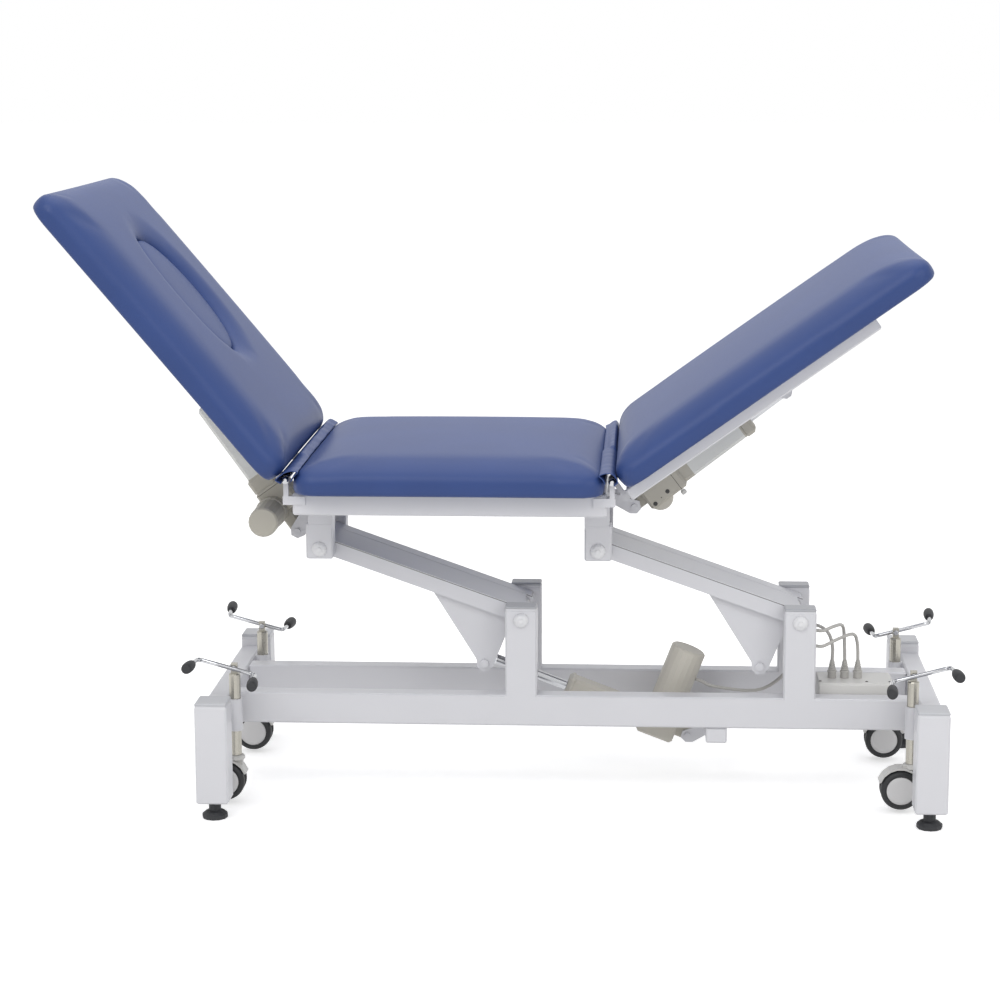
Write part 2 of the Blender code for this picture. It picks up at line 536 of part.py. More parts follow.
def pad_cage(name, long, on, low, corner=0.76):
    """A padded board from a coarse cage: domed to its edges, with sides drawn in between corners."""
    work = bmesh.new()
    bmesh.ops.create_cube(work, size=2.0)
    bmesh.ops.subdivide_edges(work, edges=work.edges, cuts=3, use_grid_fill=True)
    half, middle = (long[1] - long[0]) / 2, (long[0] + long[1]) / 2
    # Each level's share of the height, and how far its edge stands in from the pad's outline.
    levels = {-1: (0.0, 1.5), -corner: (0.13, 0.0), 0: (0.38, 3.0), corner: (0.72, 17.0), 1: (1.0, 44.0)}

    def spread(t):
        return math.copysign(corner, t) if 0.4 < abs(t) < 0.6 else round(t)

    for point in work.verts:
        s, t, h = (spread(c) for c in point.co)
        rise, inset = levels[h]
        reach_s = half - DRAWN_IN * (1 - t * t) - (inset if abs(s) == 1 else 0)
        reach_t = CUSHION_HALF - DRAWN_IN * (1 - s * s) - (inset if abs(t) == 1 else 0)
        crown = CROWN * (1 - s ** 4) * (1 - t ** 4) if h == 1 else 0.0
        point.co = (on[1] * (middle + s * reach_s) * MM, t * reach_t * MM,
                    (low + rise * CUSHION_THICK + crown) * MM)
    bmesh.ops.recalc_face_normals(work, faces=work.faces)
    mesh = bpy.data.meshes.new(name)
    work.to_mesh(mesh)
    work.free()
    mesh.shade_smooth()
    body = piece(name, mesh, on)
    rounding = body.modifiers.new("soft", "SUBSURF")
    rounding.levels = rounding.render_levels = 1
    return body


def back_section():
    on = joint("back_joint", BACK_HINGE, 0, BACK_TILT, -1)
    u = BACK_PIN[0]
    crosses = [(40, 70), about(u, 40), (BACK_FRAME_LONG - 40, BACK_FRAME_LONG - 6)]
    tubes = (BACK_GAP, BACK_FRAME_Y, BACK_FRAME_LONG)
    body, adds, bore = section_frame("back_tube", on, *tubes, crosses)
    part("back_frame", PAINT, body, adds + far_lugs("back_lugs", on, BACK_PIN), [bore])
    pad = pad_cage("back_pad", (BACK_GAP, BACK_LONG), on, PAD_W[0])
    span = (PAD_W[0] - 12, PAD_W[1] + 30)
    hole = cylinder("face_hole", OVAL_LONG, span, (OVAL_U, 0, 0), on, "z", 32, OVAL_WIDE)
    part("back_cushion", VINYL, pad, (), [hole])
    span = (PAD_W[0] + 1, PAD_W[1] + CROWN - 1)
    plug = cylinder("plug", OVAL_LONG - OVAL_CLEAR, span, (OVAL_U, 0, 0), on, "z", 32, OVAL_WIDE - OVAL_CLEAR)
    bevel = plug.modifiers.new("soft", "BEVEL")
    bevel.width, bevel.segments, bevel.limit_method = 5 * MM, 2, "ANGLE"
    part("face_plug", VINYL, plug)


def leg_section():
    on = joint("leg_joint", LEG_HINGE, 0, LEG_TILT, 1)
    u = LEG_PIN[0]
    crosses = [(40, 70), about(u, 40), (LEG_FRAME_LONG - 60, LEG_FRAME_LONG - 26)]
    tubes = (LEG_GAP, LEG_FRAME_Y, LEG_FRAME_LONG)
    body, adds, bore = section_frame("leg_tube", on, *tubes, crosses)
    part("leg_frame", PAINT, body, adds + far_lugs("leg_lugs", on, LEG_PIN), [bore])
    part("leg_cushion", VINYL, pad_cage("leg_pad", (LEG_GAP, LEG_LONG), on, PAD_W[0]))


def gap_flap(name, hinge, gap, way):
    """The vinyl strip that arches over a hinge rod, leaning on the seat's side of the gap."""
    middle = (hinge[0] + way * (gap / 2 - 0.9), hinge[1] + FLAP_LIFT)
    turns = [math.radians(20 * k - 20) for k in range(11)]

    def arch(wide, high):
        return [(middle[0] + way * wide * math.cos(t), middle[1] + high * math.sin(t)) for t in turns]

    outline = arch(FLAP_WIDE, FLAP_HIGH) + arch(FLAP_WIDE - FLAP_THICK, FLAP_HIGH - FLAP_THICK)[::-1]
    part(name, VINYL, plate(name + "_strip", outline, (FLAP_IN - CUSHION_HALF, CUSHION_HALF - FLAP_IN)))


def hinge_rod(name, hinge):
    """A hinge rod with a head outside the seat's ear at each end."""
    end, head = SEAT_FRAME_Y + FRAME_WIDE / 2 - 3 + EAR_THICK + GAP, HINGE_R + 2.6
    cap = [(end, HINGE_R), (end, head), (end + 8, head), (end + 10, head - 3)]
    profile = [(-h, r) for h, r in reversed(cap)] + cap
    part(name, CHROME, turned(name, profile, (hinge[0], 0, hinge[1]), BASE, "y", 12))


def actuator(name, pivot, end, way, sizes, extras):
    """An electric actuator: housing, tube and motor on the fixed pivot, and the rod with its eye."""
    rise = math.degrees(math.atan2(end[1] - pivot[1], way * (end[0] - pivot[0])))
    length = math.dist(pivot, end)
    on = joint(name + "_joint", pivot, 0, rise, way)
    (start, stop, wide, low, high), (tube_end, tube_half), rod_back, draw, (eye_in, eye_out) = sizes
    body = box(name + "_housing", (start, stop), (-wide, wide), (low, high), on, 5.0)
    inner = LUG_Y - LUG_THICK / 2
    square = (-tube_half, tube_half)
    adds = [box(name + "_eye", (-11, start + 8), (5 - inner, inner - 5), (-12, 12), on, 3.0),
            box(name + "_tube", (stop - 6, tube_end), square, square, on, 6.0)]
    adds += extras(on, sizes)
    bore = (length - rod_back - draw - 3, tube_end + 40)
    cuts = [cylinder(name + "_bore", ACTUATOR_ROD_R + ROD_CLEAR, bore, (0, 0, 0), on, "x"),
            cylinder(name + "_pivot_bore", PIVOT_R + PIVOT_CLEAR, (-inner - 4, inner + 4), (0, 0, 0), on,
                     sides=12)]
    part(name + "_body", PLASTIC, body, adds, cuts)
    span = (length - rod_back, length - eye_in - 1)
    rod = cylinder(name + "_shaft", ACTUATOR_ROD_R, span, (0, 0, 0), on, "x")
    ring = cylinder(name + "_ring", eye_out, (-11, 11), (length, 0, 0), on, sides=20)
    hole = cylinder(name + "_ring_bore", eye_in, (-20, 20), (length, 0, 0), on, sides=20)
    part(name + "_rod", CHROME, rod, [ring], [hole])


def collar(name, tube, long, on):
    """The thicker end of an actuator's tube."""
    square = (-tube[1] - 2, tube[1] + 2)
    return box(name, (tube[0] + 6 - long, tube[0] + 6), square, square, on, 6.0)


def height_actuator():
    """The lift actuator, whose motor stands up from its gearbox."""
    end = reach((POST_X[0], LOWER_Z), ARM_RISE, -1, PIN_A, PIN_B)

    def extras(on, sizes):
        flange = MOTOR_R + 2
        profile = [(18, MOTOR_R), (24, flange), (42, flange), (43, MOTOR_R), (MOTOR_HIGH - 3, MOTOR_R),
                   (MOTOR_HIGH, MOTOR_R - 3)]
        return [collar("height_collar", sizes[1], 16, on),
                turned("height_motor", profile, (MOTOR_A, 0, 0), on, "z", 20)]

    actuator("height_actuator", HEIGHT_PIVOT, end, -1, HEIGHT_SIZES, extras)


def back_actuator():
    """The back actuator, whose motor lies across the table and points at the near side."""
    end = reach(BACK_HINGE, BACK_TILT, -1, *BACK_PIN)

    def extras(on, sizes):
        radius, out = BACK_MOTOR_R, BACK_MOTOR_END
        profile = [(-out, radius - 3), (3 - out, radius), (-57, radius), (-56, radius + 2), (-20, radius + 2)]
        spot = (BACK_MOTOR_A, 0, BACK_MOTOR_B)
        square = (-26, 26)
        return [turned("back_motor", profile, spot, on, "y", 20),
                box("back_collar", (sizes[0][1] - 6, sizes[0][1] + 30), square, square, on, 6.0)]

    actuator("back_actuator", BACK_PIVOT, end, -1, BACK_SIZES, extras)


def leg_actuator():
    """The leg actuator, whose motor lies beside its tube."""
    end = reach(LEG_HINGE, LEG_TILT, 1, *LEG_PIN)

    def extras(on, sizes):
        start, stop = sizes[0][:2]
        line = [(a, LEG_MOTOR_Y, 0) for a in (stop - 12, LEG_MOTOR_END - 4, LEG_MOTOR_END)]
        radii = [LEG_MOTOR_R, LEG_MOTOR_R, LEG_MOTOR_R - 3]
        gear = (LEG_MOTOR_Y - 16, LEG_MOTOR_Y + LEG_MOTOR_R + 2)
        return [collar("leg_collar", (sizes[1][0] + 11, sizes[1][1]), 26, on),
                box("leg_gear", (start + 16, stop), gear, (-26, 25), on, 5.0),
                rod_between("leg_motor", line, LEG_MOTOR_R, on, 4, radii)]

    actuator("leg_actuator", LEG_PIVOT, end, 1, LEG_SIZES, extras)


def actuator_crossbar():
    """The bar under the rails with the lugs that hold the lift actuator's lower end."""
    top = RAIL_BOTTOM - GAP
    low = top - CROSSBAR_HIGH
    across = (4 - RAIL_OUT, RAIL_OUT - 4)
    body = box("crossbar", about(CROSSBAR_X, CROSSBAR_WIDE), across, (low, top), edge=TUBE_EDGE)
    px, pz = HEIGHT_PIVOT
    outline = [(CROSSBAR_X - 8, low + 14), (px + 4, pz + 13), (px - 10, pz + 8), (px - 13, pz - 4),
               (px - 4, pz - 13), (px + 10, pz - 13), (CROSSBAR_X + 8, low + 5)]
    part("actuator_crossbar", PAINT, body, clevis("crossbar_lug", outline, HEIGHT_PIVOT))


def control_box():
    """The control box on the near rail's inner face, with a socket for each plug."""
    y0 = -RAIL_IN + GAP
    x = (BOX_X, BOX_X + BOX_LONG)
    body = box("control_case", x, (y0, y0 + BOX_WIDE), (BOX_BOTTOM, BOX_TOP), edge=4.0)
    span = (BOX_TOP - PLUG_DEEP - 1, BOX_TOP + 9)
    cuts = [cylinder(f"control_socket{k}", PLUG_R + 0.4, span, (x, PLUG_Y, 0), axis="z")
            for k, x in enumerate(PLUG_X)]
    part("control_box", PALE, body, (), cuts)


def plug(name, x):
    profile = [(BOX_TOP - PLUG_DEEP, PLUG_R), (BOX_TOP + 14, PLUG_R), (BOX_TOP + 17, PLUG_R - 1.5),
               (BOX_TOP + 26, 5), (BOX_TOP + PLUG_HIGH, LEAD_R + 0.9)]
    part(name, CORD, turned(name + "_turn", profile, (x, PLUG_Y, 0), sides=10))


def leads():
    """The leads from the plugs: one to the lift motor, and two into the near post."""
    top = BOX_TOP + PLUG_HIGH + GAP
    entry = (POST_X[1] + POST_WIDE / 2 + 3 * GAP, -RAIL_Y)
    near, clear = entry[0] + 14, entry[0] + 34
    first, second, third = PLUG_X
    pin = reach((POST_X[0], LOWER_Z), ARM_RISE, -1, PIN_A, PIN_B)
    rise = math.degrees(math.atan2(pin[1] - HEIGHT_PIVOT[1], HEIGHT_PIVOT[0] - pin[0]))
    side = MOTOR_A - MOTOR_R - GAP
    gland, before, off = (reach(HEIGHT_PIVOT, rise, -1, side - d, 104) for d in (0, 14, 40))
    bow = [(first - 31 * (1 - math.cos(t)), PLUG_Y + 19 * (1 - math.cos(t)), top + 28 + 36 * math.sin(t))
           for t in (math.radians(45 * k) for k in range(5))]
    routes = {
        "height_lead": [(first, PLUG_Y, top), *bow, (427, 1, 252), (400, -0.5, 211), (352, -1.5, 185),
                        (off[0], 0, off[1]), (before[0], 0, before[1]), (gland[0], 0, gland[1])],
        "back_lead": [(second, PLUG_Y, top), (second - 2, PLUG_Y - 3, top + 44), (512, -62, 330),
                      (clear, -96, 336), (near, entry[1], 330), (entry[0], entry[1], 330)],
        "leg_lead": [(third, PLUG_Y, top), (third - 2, PLUG_Y - 2, top + 34), (533, -56, 312),
                     (clear + 6, -94, 310), (near, entry[1], 300), (entry[0], entry[1], 300)],
    }
    for name, points in routes.items():
        part(name, CORD, wire(name + "_run", smooth_path(points, 2), LEAD_R))


def build():
    rail("near_rail", -1)
    rail("far_rail", 1)
    for end_name, end in (("left", -1), ("right", 1)):
        end_frame(f"{end_name}_end_frame", end)
        for side_name, side in (("near", -1), ("far", 1)):
            foot(f"foot_{side_name}_{end_name}", end, side)
            caster(f"caster_{side_name}_{end_name}", end, side)
    actuator_crossbar()
    control_box()
    for name, x in zip(("plug_height", "plug_back", "plug_leg"), PLUG_X):
        plug(name, x)
    for name, x, upper_x in zip(("left", "right"), POST_X, UPPER_X):
        arm(f"{name}_arm", x)
        pivot_shaft(f"lower_shaft_{name}", x, LOWER_Z)
        pivot_shaft(f"upper_shaft_{name}", upper_x, UPPER_Z)
    seat_frame()
    seat = (BACK_HINGE[0] + BACK_GAP, LEG_HINGE[0] - LEG_GAP)
    part("seat_cushion", VINYL, pad_cage("seat_pad", seat, BASE, CUSHION_LOW))
    back_section()
    leg_section()
    gap_flap("back_gap_flap", BACK_HINGE, BACK_GAP, 1)
    gap_flap("leg_gap_flap", LEG_HINGE, LEG_GAP, -1)
    hinge_rod("back_hinge_rod", BACK_HINGE)
    hinge_rod("leg_hinge_rod", LEG_HINGE)
    height_actuator()
    back_actuator()
    leg_actuator()
    leads()


build()
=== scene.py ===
import math

import bmesh
import bpy
import numpy as np
from mathutils import Matrix, Vector


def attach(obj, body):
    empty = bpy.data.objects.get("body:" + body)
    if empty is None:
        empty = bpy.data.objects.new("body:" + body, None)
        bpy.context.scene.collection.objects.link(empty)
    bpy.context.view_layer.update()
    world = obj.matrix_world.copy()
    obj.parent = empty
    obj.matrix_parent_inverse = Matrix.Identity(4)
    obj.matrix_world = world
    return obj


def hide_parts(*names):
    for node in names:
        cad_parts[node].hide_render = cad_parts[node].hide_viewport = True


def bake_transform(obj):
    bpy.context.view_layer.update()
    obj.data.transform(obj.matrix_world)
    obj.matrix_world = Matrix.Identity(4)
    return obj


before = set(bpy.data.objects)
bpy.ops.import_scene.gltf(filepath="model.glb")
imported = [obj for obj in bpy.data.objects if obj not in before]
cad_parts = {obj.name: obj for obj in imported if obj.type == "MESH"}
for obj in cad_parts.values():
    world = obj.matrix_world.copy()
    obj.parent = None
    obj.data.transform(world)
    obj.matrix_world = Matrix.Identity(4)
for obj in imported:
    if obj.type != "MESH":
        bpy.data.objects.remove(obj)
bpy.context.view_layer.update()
shiftX = 0.12322  # lengths below are measured from the base's middle, this far from x = 0
mm = 0.001
rng = np.random.default_rng(7)

view = {"yaw": -3.363, "pitch": 10.328, "roll": -0.162, "lens": 90.6, "sensor": 36, "far": 60,
        "eye": (0.1363, -4.7594, 1.4249)}


def setCamera():
    yaw, pitch, roll = (math.radians(view[turn]) for turn in ("yaw", "pitch", "roll"))
    forward = Vector((math.sin(yaw) * math.cos(pitch), math.cos(yaw) * math.cos(pitch), -math.sin(pitch)))
    right = Vector((math.cos(yaw), -math.sin(yaw), 0))
    up = right.cross(forward)
    across = math.cos(roll) * right + math.sin(roll) * up
    upright = math.cos(roll) * up - math.sin(roll) * right
    lens = bpy.data.cameras.new("camera")
    lens.lens, lens.clip_end = view["lens"], view["far"]
    lens.sensor_width, lens.sensor_fit = view["sensor"], "HORIZONTAL"
    eye = bpy.data.objects.new("camera", lens)
    turn = Matrix((across, upright, -forward)).transposed().to_4x4()
    eye.matrix_world = Matrix.Translation(Vector(view["eye"]) + Vector((shiftX, 0, 0))) @ turn
    bpy.context.collection.objects.link(eye)
    bpy.context.scene.camera = eye


setCamera()
print("camera set")


# sRGB hex to linear
def linear(text):
    part = np.array([int(text[k:k + 2], 16) for k in (1, 3, 5)]) / 255
    return np.where(part <= 0.04045, part / 12.92, ((part + 0.055) / 1.055) ** 2.4)


# adds a node, or takes the one given, with its settings and its linked or fixed inputs
def put(made, kind, inputs=None, **settings):
    node = made.node_tree.nodes.new(kind) if isinstance(kind, str) else kind
    for name, value in settings.items():
        setattr(node, name, value)
    for name, value in (inputs or {}).items():
        if isinstance(value, bpy.types.NodeSocket):
            made.node_tree.links.new(value, node.inputs[name])
        else:
            node.inputs[name].default_value = value
    return node


# a cloudy tone about 140 mm across, and a grain that moves the gloss and the relief
def surface(name, colour, rough, metal=0.0, grainMm=1.0, relief=0.05, vary=0.03, glossVary=0.06):
    made = bpy.data.materials.new(name)
    made.use_nodes = True
    spot = put(made, "ShaderNodeTexCoord", name="place").outputs["Object"]
    cloud = put(made, "ShaderNodeTexNoise", {"Vector": spot, "Scale": 7.0, "Detail": 4.0})
    grain = put(made, "ShaderNodeTexNoise", {"Vector": spot, "Scale": 1000 / grainMm, "Detail": 3.0})
    tone = put(made, "ShaderNodeValToRGB", {"Fac": cloud.outputs["Fac"]}, name="tone")
    low, high = tone.color_ramp.elements
    low.position, high.position = 0.3, 0.7
    low.color = (*(linear(colour) * (1 - vary)), 1)
    high.color = (*np.minimum(1, linear(colour) * (1 + vary)), 1)
    gloss = put(made, "ShaderNodeMapRange", {"Value": grain.outputs["Fac"], "To Min": max(0.02, rough - glossVary),
                                             "To Max": min(1.0, rough + glossVary)})
    bump = put(made, "ShaderNodeBump", {"Height": grain.outputs["Fac"], "Strength": relief, "Distance": 0.6 * mm},
               name="relief")
    put(made, made.node_tree.nodes["Principled BSDF"],
        {"Base Color": tone.outputs["Color"], "Roughness": gloss.outputs["Result"],
         "Normal": bump.outputs["Normal"], "Metallic": metal})
    return made


# another colour wherever the distance along a direction lies between two values, in metres
def bands(made, base, direction, stops):
    nodes = made.node_tree.nodes
    along = put(made, "ShaderNodeVectorMath", {0: nodes["place"].outputs["Object"], 1: direction},
                operation="DOT_PRODUCT").outputs["Value"]
    colour = nodes["tone"].outputs["Color"]
    for low, high, second in stops:
        inside = put(made, "ShaderNodeMath", {0: along, 1: (low + high) / 2, 2: (high - low) / 2},
                     operation="COMPARE")
        ratio = linear(second) / linear(base)
        colour = put(made, "ShaderNodeMix", {0: inside.outputs["Value"], 6: colour, 7: (*ratio, 1)},
                     data_type="RGBA", blend_type="MULTIPLY").outputs[2]
    put(made, nodes["Principled BSDF"], {"Base Color": colour})
    return made


embossing = {"cellMm": 1.7, "depthMm": 0.4, "strength": 0.15, "sheen": 0.30}


# PVC upholstery vinyl, embossed like leather: a soft broad sheen broken by small cells. The real
# cells are under 1 mm, and 1.7 mm is as fine as shows in the render.
def vinyl(colour):
    made = surface("embossedVinyl", colour, 0.42, grainMm=2.4, relief=0.10, vary=0.05, glossVary=0.05)
    nodes = made.node_tree.nodes
    cells = put(made, "ShaderNodeTexVoronoi",
                {"Vector": nodes["place"].outputs["Object"], "Scale": 1000 / embossing["cellMm"]},
                feature="DISTANCE_TO_EDGE")
    pores = put(made, "ShaderNodeBump", {"Height": cells.outputs["Distance"], "Strength": embossing["strength"],
                                         "Distance": embossing["depthMm"] * mm})
    put(made, nodes["relief"], {"Normal": pores.outputs["Normal"]})
    put(made, nodes["Principled BSDF"], {"Specular IOR Level": embossing["sheen"]})
    return made


# the point a along and b above a line that leaves start at a rise, way -1 running to -x
def reach(start, rise, way, a, b):
    c, s = math.cos(math.radians(rise)), math.sin(math.radians(rise))
    return start[0] + way * (a * c - b * s), start[1] + a * s + b * c


# litTubeTone is the actuators' light grey tube painted lighter still: painted light that makes up for the shade
# under the pads
paintTone, absTone, litTubeTone, seamAndShadeTone = "#D5D5D9", "#B5B1A6", "#DBDCD9", "#5C5A53"
powderCoat = {"rough": 0.36, "grainMm": 2.4, "relief": 0.05, "vary": 0.015}  # 2.4 mm from crest to crest
# caps on the tubes' tops: from the lower height up, in metres, and the cap's colour
capBands = {"legs": (0.2203, 0.6, "#BFC0C4"), "posts": (0.3693, 0.9, "#B1B2B6")}

# the base, in millimetres: the arms' lower pivots, their rise and length, the lift actuator's pivot, and
# its pin along and above the left arm
# the arms' band, measured up from the pivots' line, and its dark tone are painted shade: the shade in the groove
# under each arm's top edge
base = {"postX": (-97.0, 429.0), "pivotZ": 348.0, "armRise": 19.4, "armLong": 404.0, "armShadeLine": (12.6, 14.1),
        "seamAndShadeTone": "#6E6E70", "liftPivot": (221.0, 100.0), "liftPin": (36.0, -117.0)}


# powder coat with a painted shade line along the arm just under its top edge: the shade in the groove where the top
# plate meets the side
def armLook(name, postX):
    turn = math.radians(base["armRise"])
    direction = (math.sin(turn), 0, math.cos(turn))
    zero = (postX * mm + shiftX) * direction[0] + base["pivotZ"] * mm * direction[2]
    low, high = (zero + b * mm for b in base["armShadeLine"])
    made = surface(name, paintTone, **powderCoat)
    return bands(made, paintTone, direction, [(low, high, base["seamAndShadeTone"])])


# each actuator's fixed pivot in millimetres, its rise and its heading
actuators = {
    "back": {"pivot": (-532.96, 496.99), "rise": 54.51, "way": -1},
    "leg": {"pivot": (115.04, 549.99), "rise": 37.72, "way": 1},
}


# ABS housing, a grey tube painted lighter than its own grey as painted light against the pads' shade, and dark
# seams, by the distance along the actuator from its pivot
def actuatorLook(name, stops):
    place = actuators[name]
    turn = math.radians(place["rise"])
    direction = (place["way"] * math.cos(turn), 0, math.sin(turn))
    zero = (place["pivot"][0] * mm + shiftX) * direction[0] + place["pivot"][1] * mm * direction[2]
    made = surface(name + "ActuatorAbs", absTone, 0.5, grainMm=0.9, relief=0.14, vary=0.03)
    return bands(made, absTone, direction, [(zero + low * mm, zero + high * mm, tint) for low, high, tint in stops])


looks = {
    # powder-coated steel: satin, with a slight orange peel
    "paint": surface("powderCoat", paintTone, **powderCoat),
    # the same coat, with a moulded nylon cap that closes the top of each tube
    "legs": bands(surface("powderCoatLegs", paintTone, **powderCoat), paintTone, (0, 0, 1), [capBands["legs"]]),
    "posts": bands(surface("powderCoatRails", paintTone, **powderCoat), paintTone, (0, 0, 1), [capBands["posts"]]),
    "leftArm": armLook("powderCoatLeftArm", base["postX"][0]),
    "rightArm": armLook("powderCoatRightArm", base["postX"][1]),
    "vinyl": vinyl("#31467B"),
    # spark-eroded ABS: a fine even grain that spreads the highlight. This is the housings' ABS painted lighter, as
    # painted light that makes up for the shade on the height actuator; the leg actuator's belly shares it
    "plastic": surface("sparkErodedAbsPaintedLight", "#C3BFB5", 0.5, grainMm=0.9, relief=0.14, vary=0.03),
    "backBody": actuatorLook("back", [(134, 330, litTubeTone), (97.3, 98.5, seamAndShadeTone)]),
    "legBody": actuatorLook("leg", [(129, 249, litTubeTone), (92.3, 93.5, seamAndShadeTone)]),
    # polished ABS of the control box
    "pale": surface("paleAbs", "#CFCECB", 0.42, grainMm=0.9, relief=0.08, vary=0.015),
    # turned nylon caps, smooth and a little waxy
    "white": surface("nylon", "#E2E2E4", 0.33, grainMm=1.1, relief=0.03, vary=0.01),
    # chromed steel: near mirror, with faint drawing waves about 4 mm long
    "chrome": surface("chromedSteel", "#BDBEC1", 0.13, 1.0, grainMm=4.0, relief=0.02, vary=0.03, glossVary=0.05),
    # zinc-plated steel: warm and satin
    "steel": surface("zincPlate", "#ABA89F", 0.28, 1.0, grainMm=1.4, relief=0.03, vary=0.05, glossVary=0.08),
    # moulded rubber, dull and slightly pitted
    "rubber": surface("mouldedRubber", "#2B2C2F", 0.62, grainMm=0.9, relief=0.18, vary=0.1),
    # polyurethane, darker and a little smoother than the rubber
    "tyre": surface("polyurethaneTyre", "#1B1C1E", 0.52, grainMm=1.1, relief=0.12, vary=0.08),
    # moulded nylon, satin
    "disc": surface("greyNylon", "#D4D3D3", 0.4, grainMm=1.0, relief=0.06, vary=0.02),
    # extruded PVC sheath, smooth
    "lead": surface("pvcSheath", "#B5B3AF", 0.45, grainMm=0.8, relief=0.06, vary=0.02),
    # blackened steel screws and shadow gaps
    "dark": surface("blackenedSteel", "#3A3A39", 0.55, grainMm=1.0, relief=0.05),
}
cadLooks = {
    "near_rail": "posts", "far_rail": "posts", "left_end_frame": "legs", "right_end_frame": "legs",
    "actuator_crossbar": "paint", "left_arm": "leftArm", "right_arm": "rightArm", "seat_frame": "paint",
    "back_frame": "paint", "leg_frame": "paint", "control_box": "pale", "back_hinge_rod": "chrome",
    "leg_hinge_rod": "chrome", "height_actuator_body": "plastic", "back_actuator_body": "backBody",
    "leg_actuator_body": "legBody", "height_actuator_rod": "chrome", "back_actuator_rod": "chrome",
    "leg_actuator_rod": "chrome", "lower_shaft_left": "white", "lower_shaft_right": "white",
    "upper_shaft_left": "white", "upper_shaft_right": "white",
}
corners = [(side, end) for end in ("left", "right") for side in ("near", "far")]
for sideName, endName in corners:
    cadLooks[f"foot_{sideName}_{endName}"] = "rubber"
    cadLooks[f"caster_{sideName}_{endName}_stem"] = "steel"
    cadLooks[f"caster_{sideName}_{endName}_hood"] = "pale"
for node, look in cadLooks.items():
    solid = bpy.data.objects[node]
    solid.data.materials.clear()
    solid.data.materials.append(looks[look])
print("materials:", len(looks))


# body is a name, to which the piece is attached, or two names and two points, which are not read here: the piece
# then keeps its place with its transform baked into its points
def finishPiece(piece, look, body, replaced=()):
    piece.data.materials.clear()
    piece.data.materials.append(looks[look])
    if isinstance(body, str):
        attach(piece, body)
    else:
        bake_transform(piece)
    if replaced:
        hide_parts(*replaced)
    return piece


# every face turned outwards, after points closer than the weld are joined
def faceOut(mesh, weld=0):
    work = bmesh.new()
    work.from_mesh(mesh)
    if weld:
        bmesh.ops.remove_doubles(work, verts=work.verts, dist=weld)
    bmesh.ops.recalc_face_normals(work, faces=work.faces)
    work.to_mesh(mesh)
    work.free()


def meshPiece(name, points, faces, look, body, slot, replaced=()):
    mesh = bpy.data.meshes.new(name)
    mesh.from_pydata(np.asarray(points).tolist(), [], faces)
    faceOut(mesh, weld=0.002 * mm)
    mesh.shade_smooth()
    mesh.set_sharp_from_angle(angle=math.radians(42))
    piece = bpy.data.objects.new(name, mesh)
    bpy.context.collection.objects.link(piece)
    return finishPiece(piece, look, body, replaced)


# quads of a grid stored row by row, the last column joined to the first where it is closed
def gridFaces(rows, columns, closed=False):
    i, j = np.meshgrid(np.arange(rows - 1), np.arange(columns if closed else columns - 1), indexing="ij")
    k = (j + 1) % columns
    quads = np.stack((i * columns + j, i * columns + k, (i + 1) * columns + k, (i + 1) * columns + j), -1)
    return quads.reshape(-1, 4).tolist()


# two sheets of the same grid, one over the other, joined round their border into a closed shell
def shellFaces(rows, columns):
    count, index = rows * columns, np.arange(rows * columns).reshape(rows, columns)
    border = np.concatenate((index[0], index[1:, -1], index[-1, -2::-1], index[-2:0:-1, 0]))
    following = np.roll(border, -1)
    wall = np.stack((following, border, border + count, following + count), -1).tolist()
    under = (np.array(gridFaces(rows, columns))[:, ::-1] + count).tolist()
    return gridFaces(rows, columns) + under + wall


# every profile point (along, radius) goes once round the axis, and both ends are closed
def revolved(profile, centre, axis, steps=40):
    axis = Vector(axis).normalized()
    side = axis.orthogonal().normalized()
    along, radius = np.array(profile, float).T
    turn = np.linspace(0, 2 * np.pi, steps, endpoint=False)[:, None]
    ring = np.cos(turn) * np.array(side) + np.sin(turn) * np.array(axis.cross(side))
    points = np.array(centre, float) + along[:, None, None] * np.array(axis) + radius[:, None, None] * ring
    last = (len(along) - 1) * steps
    caps = [list(range(steps)), list(range(last, last + steps))]
    return points.reshape(-1, 3), gridFaces(len(along), steps, True) + caps


# several shapes as one list of points and faces
def joined(shapes):
    points, faces = [], []
    for p, f in shapes:
        start = sum(map(len, points))
        points.append(np.asarray(p))
        faces += [[i + start for i in face] for face in f]
    return np.vstack(points), faces


# a profile whose inner corners become small parabolas
def rounded(profile, radius, steps=4):
    line, t = [np.array(profile[0], float)], np.linspace(0, 1, steps + 1)[:, None]
    for before, here, after in zip(profile, profile[1:], profile[2:]):
        before, here, after = (np.array(p, float) for p in (before, here, after))
        back, on = np.linalg.norm(before - here), np.linalg.norm(after - here)
        cut = min(radius, back * 0.45, on * 0.45)
        start, end = here + (before - here) / back * cut, here + (after - here) / on * cut
        line += list((1 - t) ** 2 * start + 2 * t * (1 - t) * here + t * t * end)
    return line + [np.array(profile[-1], float)]


# a cubic that passes through every point, with each slope set by the points on both sides
def smoothLine(points, steps):
    points = np.array(points, float)
    ends = np.vstack((points[:1], points, points[-1:]))
    a, b, c, d = (ends[k:len(ends) - 3 + k, None] for k in range(4))
    t = np.linspace(0, 1, steps, endpoint=False)[None, :, None]
    line = 0.5 * (2 * b + (c - a) * t + (2 * a - 5 * b + 4 * c - d) * t ** 2 + (3 * b - a - 3 * c + d) * t ** 3)
    return np.vstack((line.reshape(-1, 3), points[-1:]))


